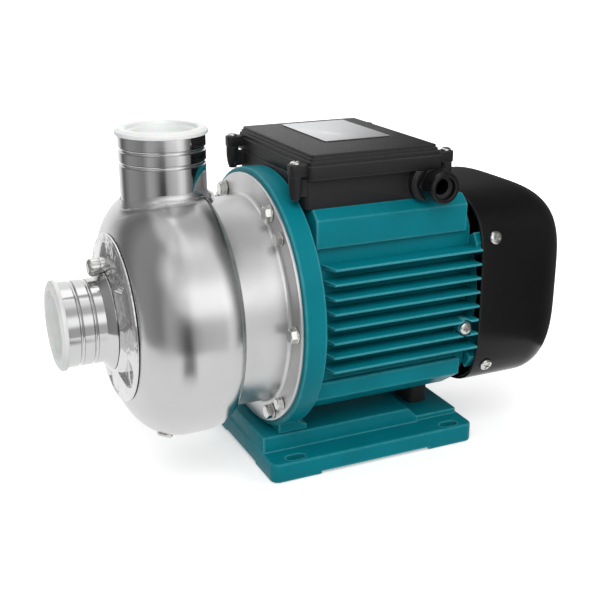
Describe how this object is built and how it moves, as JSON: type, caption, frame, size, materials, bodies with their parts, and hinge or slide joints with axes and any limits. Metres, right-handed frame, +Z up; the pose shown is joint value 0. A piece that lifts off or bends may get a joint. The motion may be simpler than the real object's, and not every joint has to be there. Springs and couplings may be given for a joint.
{
  "type": "centrifugal pump",
  "caption": "End-suction centrifugal pump with a pressed stainless casing and upright outlet, close-coupled to a finned motor on a cast foot, with terminal box and fan cover.",
  "frame": {"origin": "centre of the bounding box on the plane that the foot stands on", "axes": "+X along the shaft from the suction port to the fan cover, +Y away from the cable gland, +Z up"},
  "size_m": [0.4314, 0.213, 0.279],
  "materials": {
    "stainless": "satin pressed stainless steel",
    "plated_steel": "bright plated",
    "cast_paint": "teal enamel on cast iron",
    "housing_paint": "teal enamel on aluminium",
    "black_plastic": "fine grained black",
    "white_plastic": "translucent white",
    "rubber": "matte black",
    "seal_ceramic": "lapped ceramic",
    "seal_carbon": "carbon",
    "copper": "varnished copper",
    "electrical_steel": "laminated steel",
    "label_foil": "satin foil, blank"
  },
  "bodies": {
    "pump": {"pump_casing": "stainless", "star_plate": "stainless", "suction_nozzle": "stainless", "discharge_nozzle": "stainless", "filling_plug": "plated_steel", "drain_plug": "plated_steel", "seal_plate": "stainless", "casing_o_ring": "rubber", "seal_seat": "seal_ceramic", "casing_screw_1": "plated_steel", "casing_screw_2": "plated_steel", "casing_screw_3": "plated_steel", "casing_screw_4": "plated_steel", "casing_screw_5": "plated_steel", "casing_screw_6": "plated_steel", "bracket_screw_1": "plated_steel", "bracket_screw_2": "plated_steel", "bracket_screw_3": "plated_steel", "bracket_screw_4": "plated_steel", "front_bearing_outer": "plated_steel", "rear_bearing_outer": "plated_steel", "motor_bracket": "cast_paint", "cast_foot": "cast_paint", "rear_support": "rubber", "foot_screw_1": "plated_steel", "foot_screw_2": "plated_steel", "motor_housing": "housing_paint", "stator_core": "electrical_steel", "stator_winding": "copper", "rear_end_shield": "housing_paint", "fan_cover": "black_plastic", "cover_screw_1": "plated_steel", "cover_screw_2": "plated_steel", "cover_screw_3": "plated_steel", "cover_screw_4": "plated_steel", "earth_screw": "plated_steel", "terminal_box": "black_plastic", "terminal_box_lid": "black_plastic", "lid_screw_1": "plated_steel", "lid_screw_2": "plated_steel", "lid_screw_3": "plated_steel", "lid_screw_4": "plated_steel", "label_plate": "label_foil", "gland_body": "black_plastic", "gland_nut": "black_plastic", "gland_seal": "rubber", "terminal_block": "black_plastic", "capacitor": "white_plastic"},
    "rotor": {"seal_head": "seal_carbon", "seal_spring": "stainless", "shaft": "plated_steel", "rotor_core": "electrical_steel", "fan_clip": "plated_steel", "impeller": "stainless", "impeller_nut": "plated_steel", "fan": "black_plastic", "front_bearing_inner": "plated_steel", "rear_bearing_inner": "plated_steel"},
    "suction_cap_body": {"suction_cap": "white_plastic"},
    "discharge_cap_body": {"discharge_cap": "white_plastic"}
  },
  "joints": [
    {"name": "rotor_spin", "type": "hinge", "parent": "pump", "child": "rotor", "pos_m": [0, 0, 0.1342], "axis": [1, 0, 0], "continuous": true},
    {"name": "suction_cap_pull", "type": "slide", "parent": "pump", "child": "suction_cap_body", "axis": [-1, 0, 0], "range_m": [0, 0.06]},
    {"name": "discharge_cap_pull", "type": "slide", "parent": "pump", "child": "discharge_cap_body", "axis": [0, 0, 1], "range_m": [0, 0.06]}
  ]
}
